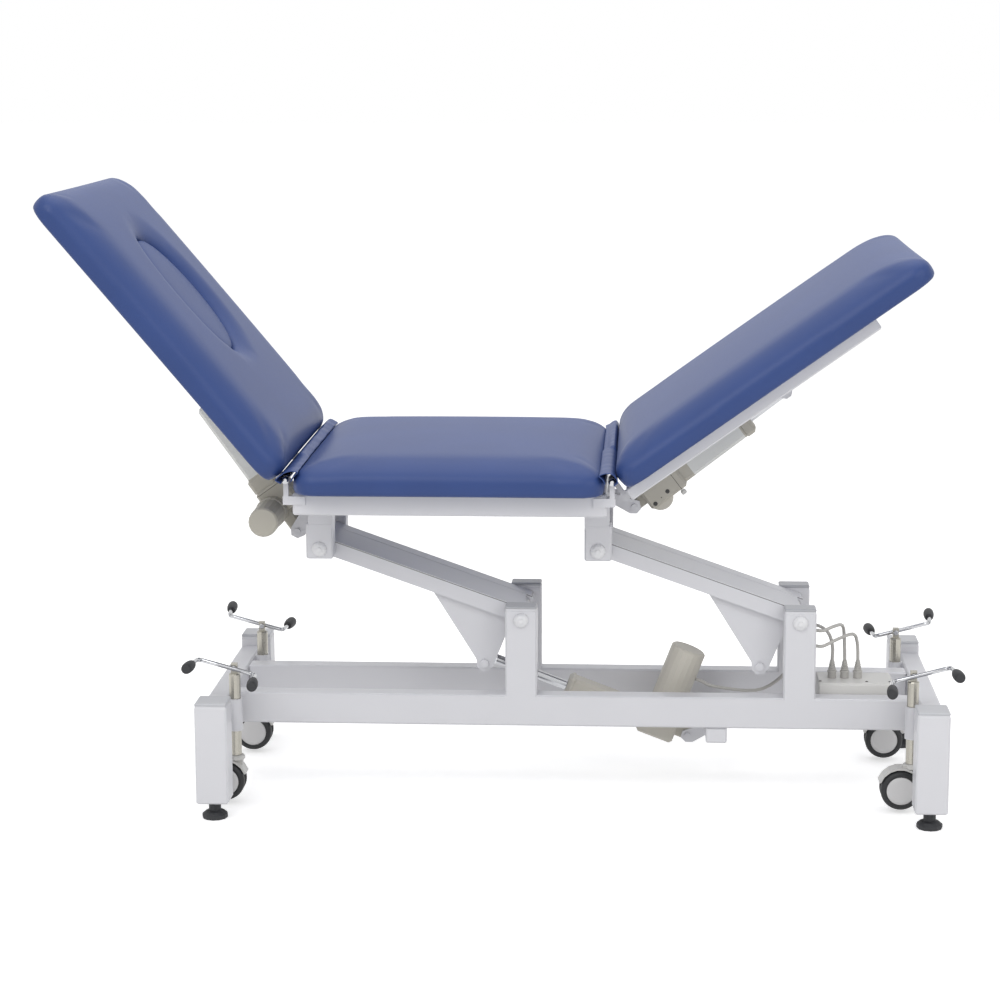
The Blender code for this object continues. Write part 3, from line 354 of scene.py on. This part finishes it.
def curvePiece(name, path, radius, look, body, replaced=()):
    shape = bpy.data.curves.new(name, "CURVE")
    shape.dimensions = "3D"
    shape.bevel_depth, shape.bevel_resolution, shape.use_fill_caps = radius, 4, True
    line = shape.splines.new("POLY")
    line.points.add(len(path) - 1)
    line.points.foreach_set("co", np.column_stack((path, np.ones(len(path)))).ravel())
    line.use_smooth = True
    piece = bpy.data.objects.new(name, shape)
    bpy.context.collection.objects.link(piece)
    if not isinstance(body, str):  # only a mesh can bend
        mesh = bpy.data.meshes.new_from_object(piece.evaluated_get(bpy.context.evaluated_depsgraph_get()))
        bpy.data.objects.remove(piece)
        piece = bpy.data.objects.new(name, mesh)
        bpy.context.collection.objects.link(piece)
        mesh.shade_smooth()
    return finishPiece(piece, look, body, replaced)


# the control box and its plugs, in millimetres
plugs = {"x": {"height": 496.0, "back": 520.0, "leg": 545.0}, "y": -38.0, "boxTop": 222.0, "high": 34.0}
# sheath thickness; the bow's reach in x and y, its start and its height; where two leads enter the post;
# the gland along and above the lift actuator, which turns, and the x and z between which the height lead
# bends over to it
lead = {"thick": 6.4, "bow": (31, 19, 28, 36), "entry": (30.9, -106.0), "gland": (23.7, 104.0),
        "swingX": (400.0, 272.0), "swingZ": 190.0}


def leads():
    top = plugs["boxTop"] + plugs["high"] + 0.3
    y, (first, second, third) = plugs["y"], plugs["x"].values()
    entry = (base["postX"][1] + lead["entry"][0], lead["entry"][1])
    near, clear = entry[0] + 14, entry[0] + 34
    pin = reach((base["postX"][0], base["pivotZ"]), base["armRise"], -1, *base["liftPin"])
    pivot = base["liftPivot"]
    rise = math.degrees(math.atan2(pin[1] - pivot[1], pivot[0] - pin[0]))
    along, above = lead["gland"]
    gland, before, off = (reach(pivot, rise, -1, along - d, above) for d in (0, 14, 40))
    turn = np.radians(np.arange(5) * 45)  # the bow over from the plug, in 45 degree steps
    swing, (overX, overY, stem, high) = 1 - np.cos(turn), lead["bow"]
    bow = np.column_stack((first - overX * swing, y + overY * swing, top + stem + high * np.sin(turn))).tolist()
    routes = {
        "height_lead": [(first, y, top), *bow, (427, 1, 252), (400, -0.5, 211), (352, -1.5, 185),
                        (off[0], 0, off[1]), (before[0], 0, before[1]), (gland[0], 0, gland[1])],
        "back_lead": [(second, y, top), (second - 2, y - 3, top + 44), (512, -62, 330), (clear, -96, 336),
                      (near, entry[1], 330), (entry[0], entry[1], 330)],
        "leg_lead": [(third, y, top), (third - 2, y - 2, top + 34), (533, -56, 312), (clear + 6, -94, 310),
                     (near, entry[1], 300), (entry[0], entry[1], 300)],
    }
    start, end = ((x * mm + shiftX, 0, lead["swingZ"] * mm) for x in lead["swingX"])
    bodies = {"height_lead": ("base", "height_actuator", start, end)}
    for node, points in routes.items():
        path = smoothLine(points, 4) * mm + np.array((shiftX, 0, 0))
        piece = curvePiece(node + "_sheath", path, lead["thick"] * mm / 2, "lead", bodies.get(node, "base"),
                           (node,))
    for label, x in plugs["x"].items():
        profile = [(-8, 8), (10.5, 8), (11.5, 9.2), (13.5, 9.2), (14.5, 7.8)]
        for k in range(4):  # ribs of the strain relief, each narrower than the one below
            low, radius = 15.5 + 4.2 * k, 7.2 - 0.7 * k
            profile += [(low, radius - 1.2), (low + 0.8, radius), (low + 2.8, radius), (low + 3.6, radius - 1.2)]
        points, faces = revolved(np.array(profile + [(34, 4.1)]) * mm,
                                 (x * mm + shiftX, y * mm, plugs["boxTop"] * mm), (0, 0, 1), 28)
        meshPiece(f"plug_{label}_ribbed", points, faces, "lead", "base", "grey_lead", (f"plug_{label}",))


leads()
print("leads and plugs made")

# each pad on its hinge: u runs out from the hinge between the ends, and low is the board's top
sections = {
    "seat": {"hinge": (shiftX, 0.0), "tilt": 0.0, "way": 1, "ends": (-0.510, 0.068), "low": 0.6143,
             "rounds": (0.128, 0.128)},
    "back": {"hinge": (-0.519 + shiftX, 0.640), "tilt": 50.0, "way": -1, "ends": (0.009, 0.677), "low": -0.0257,
             "rounds": (0.078, 0.135)},
    "leg": {"hinge": (0.076 + shiftX, 0.640), "tilt": 35.5, "way": 1, "ends": (0.008, 0.691), "low": -0.0257,
            "rounds": (0.078, 0.135)},
}
pad = {"half": 0.3195, "thick": 0.0695, "lip": 0.025, "tuck": 0.007, "crown": 0.0065, "pull": 0.0015,
       "corner": 0.040, "sideRound": 0.105, "bow": 2.7, "box": 9, "grid": (121, 117), "voxel": 0.006, "relax": 4,
       "swell": 0.003, "board": 0.010, "rimDrop": 0.015, "rimWide": 0.034}
oval = {"u": 0.383, "long": 0.138, "wide": 0.104, "mean": 0.118, "steps": 96}


# u, y and w of a section to the table's own axes
def toWorld(section, points):
    place = sections[section]
    u, y, w = np.asarray(points, float).T
    c, s = math.cos(math.radians(place["tilt"])), math.sin(math.radians(place["tilt"]))
    x, z = place["hinge"]
    return np.column_stack((x + place["way"] * (u * c - w * s), y, z + u * s + w * c))


# a rectangle with round corners and drawn-in sides; the top falls to a low lip at its border along
# bows flatter than ellipses near the top, joined at the corners by a high power mean, and crowns in
# the middle, while the underside is the same outline drawn in by the tuck
def padForm(section, hole):
    start, end = sections[section]["ends"]
    half, middle, side = (end - start) / 2, (start + end) / 2, pad["half"]
    rows, columns = pad["grid"]
    s, t = np.meshgrid(*(np.sin(np.linspace(-1, 1, n) * np.pi / 2) * 0.55 + np.linspace(-1, 1, n) * 0.45
                         for n in (rows, columns)), indexing="ij")
    u, y = s * (half - 0.0005 - pad["pull"] * (1 - t ** 2)), t * (side - pad["pull"] * (1 - s ** 2))
    du = np.clip((np.abs(u) - half + pad["corner"]) / pad["corner"], 0, 1)
    dy = np.clip((np.abs(y) - side + pad["corner"]) / pad["corner"], 0, 1)
    u = u - np.sign(u) * pad["corner"] * du * (1 - np.sqrt(1 - dy ** 2 / 2))  # square corner to quarter disc
    y = y - np.sign(y) * pad["corner"] * dy * (1 - np.sqrt(1 - du ** 2 / 2))
    ends = np.where(s < 0, *sections[section]["rounds"])
    across = np.clip(1 - (1 - np.abs(s)) * half / ends, 0, 1) ** pad["box"]
    along = np.clip(1 - (1 - np.abs(t)) * side / pad["sideRound"], 0, 1) ** pad["box"]
    edge = np.sqrt(np.clip(1 - (across + along) ** (pad["bow"] / pad["box"]), 0, 1))
    top = pad["lip"] + (pad["thick"] - pad["crown"] - pad["lip"]) * edge
    top = top + pad["crown"] * (1 - s ** 2) * (1 - t ** 2)
    if hole:  # the cover turns down round the oval
        away = np.hypot((u + middle - oval["u"]) / oval["long"], y / oval["wide"]) - 1
        top = top - pad["rimDrop"] * np.clip(1 - np.abs(away) * oval["mean"] / pad["rimWide"], 0, 1) ** 2
    low = sections[section]["low"]
    under = 1 - pad["tuck"] / side
    sheets = [np.column_stack(((u * k + middle).ravel(), (y * k).ravel(), w.ravel()))
              for k, w in ((1, top + low), (under, np.full_like(top, low)))]
    return np.vstack(sheets), shellFaces(rows, columns)


def applyModifiers(piece):
    old = piece.data
    mesh = bpy.data.meshes.new_from_object(piece.evaluated_get(bpy.context.evaluated_depsgraph_get()))
    piece.modifiers.clear()
    piece.data = mesh
    bpy.data.meshes.remove(old)


def readPoints(piece):
    flat = np.empty(len(piece.data.vertices) * 3)
    piece.data.vertices.foreach_get("co", flat)
    return flat.reshape(-1, 3)


cover = {"pressure": 4.0, "frames": 20, "quality": 5, "mass": 0.4, "stretch": 25, "shear": 8, "bend": 3,
         "ironing": 14}


# the cover blown up by its foam with its board held, each point moving a little at most
def swell(piece, held, most):
    scene, before = bpy.context.scene, readPoints(piece)
    piece.vertex_groups.new(name="board").add(np.nonzero(held(before))[0].tolist(), 1.0, "REPLACE")
    cloth = piece.modifiers.new("cloth", "CLOTH")
    settings = cloth.settings
    settings.use_pressure, settings.uniform_pressure_force = True, cover["pressure"]
    settings.vertex_group_mass, settings.pin_stiffness = "board", 1.0
    settings.quality, settings.mass = cover["quality"], cover["mass"]
    settings.tension_stiffness = settings.compression_stiffness = cover["stretch"]
    settings.shear_stiffness, settings.bending_stiffness = cover["shear"], cover["bend"]
    settings.effector_weights.gravity = 0
    cloth.collision_settings.use_collision = False
    for k in range(1, cover["frames"] + 1):
        scene.frame_set(k)
    applyModifiers(piece)
    scene.frame_set(1)
    moved = readPoints(piece) - before
    moved *= np.minimum(1, most / np.maximum(np.linalg.norm(moved, axis=1, keepdims=True), 1e-9))
    piece.data.vertices.foreach_set("co", (before + moved).ravel())
    piece.vertex_groups.clear()
    settle = piece.modifiers.new("settle", "SMOOTH")  # the foam behind the cover irons out its buckles
    settle.factor, settle.iterations = 0.5, cover["ironing"]
    applyModifiers(piece)


def padPiece(name, section, replaced, hole=False):
    points, faces = padForm(section, hole)
    mesh = bpy.data.meshes.new(name)
    mesh.from_pydata(points.tolist(), [], faces)
    piece = bpy.data.objects.new(name, mesh)
    bpy.context.collection.objects.link(piece)
    low, (start, end) = sections[section]["low"], sections[section]["ends"]
    if hole:
        ring, wall = revolved([(-0.15, 1.0), (0.15, 1.0)], (0, 0, 0), (0, 0, 1), oval["steps"])
        shape = bpy.data.meshes.new("holeCutter")
        shape.from_pydata((ring * (oval["long"], oval["wide"], 1) + (oval["u"], 0, 0)).tolist(), [], wall)
        faceOut(shape)
        cutter = bpy.data.objects.new("holeCutter", shape)
        bpy.context.collection.objects.link(cutter)
        cut = piece.modifiers.new("hole", "BOOLEAN")
        cut.operation, cut.solver, cut.object = "DIFFERENCE", "EXACT", cutter
        applyModifiers(piece)
        bpy.data.objects.remove(cutter)
    voxels = piece.modifiers.new("voxels", "REMESH")
    voxels.mode, voxels.voxel_size, voxels.use_smooth_shade = "VOXEL", pad["voxel"], True
    applyModifiers(piece)
    relax = piece.modifiers.new("relax", "SMOOTH")
    relax.factor, relax.iterations = 0.5, pad["relax"]
    applyModifiers(piece)
    inside = lambda p: np.hypot((p[:, 0] - oval["u"]) / oval["long"], p[:, 1] / oval["wide"]) < 1.05
    swell(piece, lambda p: (p[:, 2] < low + pad["board"]) | (inside(p) if hole else False), pad["swell"])
    flat = readPoints(piece)
    flat[:, 2] = np.maximum(flat[:, 2], low)
    flat[:, 1] = np.clip(flat[:, 1], -pad["half"], pad["half"])
    flat[:, 0] = np.clip(flat[:, 0], start + 0.0003, end - 0.0003)
    piece.data.vertices.foreach_set("co", toWorld(section, flat).ravel())
    faceOut(piece.data)
    piece.data.shade_smooth()
    finishPiece(piece, "vinyl", section, replaced)
    print(name, "made")


padPiece("seat_pad", "seat", ("seat_cushion",))
padPiece("back_pad", "back", ("back_cushion",), True)
padPiece("leg_pad", "leg", ("leg_cushion",))


faceRest = {"gap": 0.0015, "sunk": 0.0185}  # above the board, and below the cover round it


# rings of the oval hole's own shape, set in from it a little more with every step up over the rim
def facePlug():
    low, rim = sections["back"]["low"] + faceRest["gap"], pad["thick"] - faceRest["sunk"]
    rise = np.array((0.0, 0.002, 0.006, rim - 0.012, rim - 0.004, rim + 0.001, rim + 0.0038, rim + 0.0055,
                     rim + 0.0066, rim + 0.0072))[:, None]
    inset = np.array((0.007, 0.0025, 0.0014, 0.0014, 0.0022, 0.0055, 0.012, 0.023, 0.046, 0.081))[:, None]
    rings, steps = len(rise), oval["steps"]
    turn = np.linspace(0, 2 * np.pi, steps, endpoint=False)[None]
    points = np.stack((oval["u"] + (oval["long"] - inset) * np.cos(turn), (oval["wide"] - inset) * np.sin(turn),
                       np.broadcast_to(low + rise, (rings, steps))), -1).reshape(-1, 3)
    faces = gridFaces(rings, steps, True) + [list(range(steps)), list(range((rings - 1) * steps, rings * steps))]
    piece = meshPiece("face_plug_pad", toWorld("back", points), faces, "vinyl", "face_plug", "blue_vinyl",
                      ("face_plug",))


facePlug()
print("face plug made")

# each strip's section in millimetres from its hinge, the seat to the right: broad and low on the near
# side of its fold, narrow and tall beyond it
strips = {
    "back_gap": {
        "hinge": (-0.519, 0.640), "way": 1, "fold": -130.0, "other": "back_pad",
        "near": ((-3.2, -2), (-12.2, 4), (-9.3, 9.6), (-3.2, 14.8), (3.2, 19.6), (14, 23), (21.5, 22), (26, 19.2),
                 (17.8, 10.2), (14, 1.5)),
        "far": ((-3.2, -2), (-12.2, 4), (-9.3, 9.6), (-3.2, 14.8), (3.2, 22.4), (10, 27), (18.4, 23.4),
                (24.2, 17.8), (17.6, 10), (14, 1.5)),
    },
    "leg_gap": {
        "hinge": (0.076, 0.640), "way": -1, "fold": -20.0, "other": "leg_pad",
        "near": ((-3.2, -2), (-9.4, 4.5), (-8.2, 10.4), (-5.4, 15.6), (-1, 20.2), (5.5, 22.4), (14, 21.6),
                 (22.4, 16.8), (16.2, 9.6), (12.4, 1.5)),
        "far": ((-3.2, -2), (-8, 8), (-5.4, 16), (-3.4, 22.6), (0.6, 27), (6.6, 25.4), (13, 19.8), (20.4, 15.2),
                (15.2, 8.6), (12.4, 1.5)),
    },
}
stripCut = {"thick": 1.6, "half": 306.0, "rows": 201, "crease": 5, "mouth": 0.10, "flare": 22, "middle": 5}
# how many waves, the ranges of their rates, phases and sizes, and the heights between which they grow
ripple = {"count": 6, "rate": (0.03, 0.16), "phase": (0, 6.28), "size": (0.1, 0.35), "from": 10, "over": 12}


# one section fades into the other at the fold as it is carried along the hinge; both ends open a
# little, small waves run along the crest, and the inner face is set in along the normal
def gapStrip(name):
    place, half = strips[name], stripCut["half"]
    near, far = (smoothLine(np.pad(place[k], ((0, 0), (0, 1))), 4)[None, :, :2] for k in ("near", "far"))
    y = np.linspace(-half, half, stripCut["rows"])[:, None, None]
    past = 0.5 + 0.5 * np.tanh((y - place["fold"]) / stripCut["crease"])
    section = near * (1 - past) + far * past
    rise = np.clip((section[..., 1:] - ripple["from"]) / ripple["over"], 0, 1)
    draws = [rng.uniform(*ripple[k], ripple["count"]) for k in ("rate", "phase", "size")]
    waves = sum(size * np.sin(rate * y + phase + 2 * rise) for rate, phase, size in zip(*draws))
    mouth, middle = 1 + stripCut["mouth"] * np.exp((np.abs(y) - half) / stripCut["flare"]), stripCut["middle"]
    section = np.concatenate(((section[..., :1] - middle) * mouth + middle, section[..., 1:] + waves * rise), -1)
    slope = np.gradient(section, axis=1)
    normal = np.stack((-slope[..., 1], slope[..., 0]), -1) / np.linalg.norm(slope, axis=-1, keepdims=True)
    sheets = []
    for depth in (0.0, stripCut["thick"]):
        across, up = np.moveaxis(section - depth * normal, -1, 0)
        sheets.append(np.stack((place["way"] * across, np.broadcast_to(y[..., 0], across.shape), up), -1) * mm
                      + (place["hinge"][0] + shiftX, 0, place["hinge"][1]))
    outer = sheets[0]
    piece = meshPiece(name + "_strip", np.vstack([sheet.reshape(-1, 3) for sheet in sheets]),
                      shellFaces(*outer.shape[:2]), "vinyl", "seat", "blue_vinyl", (name + "_flap",))


for name in strips:
    gapStrip(name)
print("gap strips made")

caster = {"x": 0.637, "y": 0.174, "wheelZ": 0.044, "trail": 0.020, "pedalZ": 0.262, "tilt": 15.0,
          "pedalHalf": 0.057, "pedalOut": 0.014, "pedalArm": 0.095, "flare": 0.006, "barY": 0.0096, "root": 0.011,
          "rod": 0.004}


def casters():
    tread = np.array(rounded([(7, 20), (7, 32.5), (8.5, 37.3), (14.5, 37.5), (19.5, 36.2), (22.2, 31.5),
                              (22.2, 27.5), (20.5, 26.2)], 3)) * mm
    face = np.array([(19.5, 27.2), (21.2, 26.6), (22.2, 25.0), (22.6, 20.0), (22.9, 12.0), (22.9, 6.0)]) * mm
    hub = np.array(rounded([(-6.8, 3.5), (-6.8, 5.2), (9.6, 5.2), (9.6, 3.5)], 1)) * mm
    grip = np.array(rounded([(3, 4.5), (3, 8.6), (-4, 10.2), (-20, 10.5), (-34, 9.4), (-43, 7.6),
                             (-45, 5.2)], 4)) * mm
    half, arm, bar = caster["pedalHalf"], caster["pedalArm"], caster["barY"]
    wide, foot = half + caster["flare"], bar + caster["root"]
    bend = np.array([(wide, arm - 0.012), (half, foot), (half - 0.002, bar + 0.005), (half - 0.005, bar + 0.002),
                     (half - 0.012, bar)])
    for sideName, endName in corners:
        label = f"caster_{sideName}_{endName}"
        end, side = (-1 if endName == "left" else 1), (-1 if sideName == "near" else 1)
        x, y = end * caster["x"] + shiftX, side * caster["y"]
        axle = (x - caster["trail"], y, caster["wheelZ"])
        turned = lambda profile, steps: [revolved(profile * (way, 1), axle, (0, 1, 0), steps) for way in (-1, 1)]
        meshPiece(label + "_tyres", *joined(turned(tread, 48)), "tyre", label + "_wheels", "caster_tyre",
                  (label + "_wheels",))
        pin = revolved([(-0.0075, 0.005), (0.0075, 0.005)], axle, (0, 1, 0), 20)
        meshPiece(label + "_discs", *joined(turned(face, 48) + [pin]), "disc", label + "_wheels", "caster_tyre")
        tilt = math.radians(caster["tilt"])

        # a runs along the tilted rod, out points away from the table
        def spot(a, out):
            a = np.asarray(a) + caster["pedalOut"]
            return np.stack((x + end * a * math.cos(tilt), y + side * np.asarray(out),
                             caster["pedalZ"] + a * math.sin(tilt)), -1)

        path = np.vstack((spot(*bend.T), spot(-bend[::-1, 0], bend[::-1, 1])))
        curvePiece(label + "_pedal_rod", smoothLine(path, 3), caster["rod"], "chrome", label + "_pedal",
                   (label + "_pedal",))
        meshPiece(label + "_pedal_hub", *revolved(hub, (x, y, caster["pedalZ"]), (0, side, 0), 24), "chrome",
                  label + "_pedal", "chrome")
        for k, way in enumerate((1, -1)):
            tip, root = spot(way * wide, arm), spot(way * half, foot)
            meshPiece(f"{label}_grip{k}", *revolved(grip, tip, tip - root, 28), "rubber", label + "_pedal",
                      "dark_rubber")


casters()
print("casters made")

# small fittings, in millimetres: screw heads on the box and on the leg actuator's near face
fittings = {"boxScrews": ((472.0, -68.0), (560.0, -68.0), (604.0, -68.0)),
            "legScrews": ((68.7, -14.1), (36.0, -19.6)), "legDot": (52.3, -16.7), "legFaceY": -30.0,
            "belly": (50.0, -16.5, 25.0, 23.0), "peg": (92.0, -27.0)}


def trim():
    pivots = [(x, base["pivotZ"]) for x in base["postX"]]
    pivots += [reach(p, base["armRise"], -1, base["armLong"], 0) for p in pivots]
    dome = np.array(rounded([(135.5, 4.96), (136.6, 4.96), (137.2, 4.54), (137.4, 1.68)], 0.6)) * mm
    for k, (x, z) in enumerate(pivots):
        for side, label in ((-1, "near"), (1, "far")):
            cap = revolved(dome, (x * mm + shiftX, 0, z * mm), (0, side, 0), 32)
            meshPiece(f"shaft_cap{k}_{label}", *cap, "white", "base" if k < 2 else "seat", "pale_plastic")

    # a socket head: a flat rim round a sunk middle
    head = lambda r: np.array([(-0.3, r), (0.6, r), (0.9, r * 0.86), (0.9, r * 0.5), (0.1, r * 0.46),
                               (0.1, r * 0.1)]) * mm
    boxTop = plugs["boxTop"] * mm - 0.0002
    screws = [revolved(head(2.8), (x * mm + shiftX, y * mm, boxTop), (0, 0, 1), 24)
              for x, y in fittings["boxScrews"]]
    meshPiece("box_screws", *joined(screws), "dark", "base", "dark_rubber")

    place = actuators["leg"]

    def onLeg(a, b, y):
        x, z = reach(place["pivot"], place["rise"], place["way"], a, b)
        return x * mm + shiftX, y * mm, z * mm

    screws = [revolved(head(4.2), onLeg(a, b, fittings["legFaceY"]), (0, -1, 0), 28)
              for a, b in fittings["legScrews"]]
    screws.append(revolved(head(1.1), onLeg(*fittings["legDot"], fittings["legFaceY"]), (0, -1, 0), 16))
    meshPiece("leg_actuator_screws", *joined(screws), "dark", "leg_actuator", "dark_rubber")
    # the gear cover's round belly under the housing, and the peg beside it
    a, b, radius, half = fittings["belly"]
    belly = rounded([(-half, radius - 6), (-half, radius - 2), (2 - half, radius), (half - 2, radius),
                     (half, radius - 2), (half, radius - 6)], 2.5)
    meshPiece("leg_actuator_belly", *revolved(np.array(belly) * mm, onLeg(a, b, 0), (0, 1, 0), 56), "plastic",
              "leg_actuator", "beige_plastic")
    a, b = fittings["peg"]
    tip, root = np.array(onLeg(a, b - 1, 0)), np.array(onLeg(a, b, 0))
    peg = np.array(rounded([(-2, 3.2), (4, 3.2), (4.6, 5.4), (11, 5.4), (12.4, 4.4), (12.6, 1.0)], 0.8)) * mm
    meshPiece("leg_actuator_peg", *revolved(peg, onLeg(a, b, -20), tip - root, 24), "pale", "leg_actuator",
              "pale_plastic")


trim()
print("trim made")

studioLight = {"world": 0.62, "floorGlow": 0.5, "floorZ": -0.0005, "floorHalf": 40,
               "key": ((-1.6, -3.6, 4.2), 88, 3.2), "fill": ((2.8, -3.4, 2.6), 36, 2.6),
               "top": ((0.2, 0.6, 4.6), 62, 4.0), "aim": (0, 0, 0.5)}


# 1 for rays from the camera, in a reflection or through glass, 0 for the light that falls on the object
def seenRays(made):
    path = put(made, "ShaderNodeLightPath")
    either = put(made, "ShaderNodeMath", {0: path.outputs["Is Camera Ray"], 1: path.outputs["Is Glossy Ray"]},
                 operation="MAXIMUM")
    return put(made, "ShaderNodeMath", {0: either.outputs[0], 1: path.outputs["Is Transmission Ray"]},
               operation="MAXIMUM").outputs[0]


# white for the camera and in reflections, while the object gets a plain level of light
def studio():
    scene = bpy.context.scene
    scene.view_settings.view_transform = "Standard"
    world = bpy.data.worlds.new("studio")
    world.use_nodes = True
    level = put(world, "ShaderNodeMapRange",
                {"Value": seenRays(world), "To Min": studioLight["world"], "To Max": 1.0})
    put(world, world.node_tree.nodes["Background"], {"Color": (1, 1, 1, 1), "Strength": level.outputs["Result"]})
    scene.world = world
    mesh = bpy.data.meshes.new("floor")
    low, far = studioLight["floorZ"], studioLight["floorHalf"]
    mesh.from_pydata([(-far, -far, low), (far, -far, low), (far, far, low), (-far, far, low)], [], [(0, 1, 2, 3)])
    floor = bpy.data.objects.new("floor", mesh)
    bpy.context.collection.objects.link(floor)
    paper = surface("backdropPaper", "#EFEFEF", 0.9, grainMm=16.0, relief=0.0, vary=0.004)
    glow = put(paper, "ShaderNodeMath", {0: seenRays(paper), 1: studioLight["floorGlow"]}, operation="MULTIPLY")
    put(paper, paper.node_tree.nodes["Principled BSDF"],
        {"Emission Color": (1, 1, 1, 1), "Emission Strength": glow.outputs[0], "Specular IOR Level": 0.0})
    floor.data.materials.append(paper)
    for name in ("key", "fill", "top"):
        spot, power, size = studioLight[name]
        lamp = bpy.data.lights.new(name, "AREA")
        lamp.energy, lamp.size = power, size
        holder = bpy.data.objects.new(name, lamp)
        holder.location = spot
        holder.rotation_euler = (Vector(studioLight["aim"]) - Vector(spot)).to_track_quat("-Z", "Y").to_euler()
        bpy.context.collection.objects.link(holder)


studio()
print("studio set")
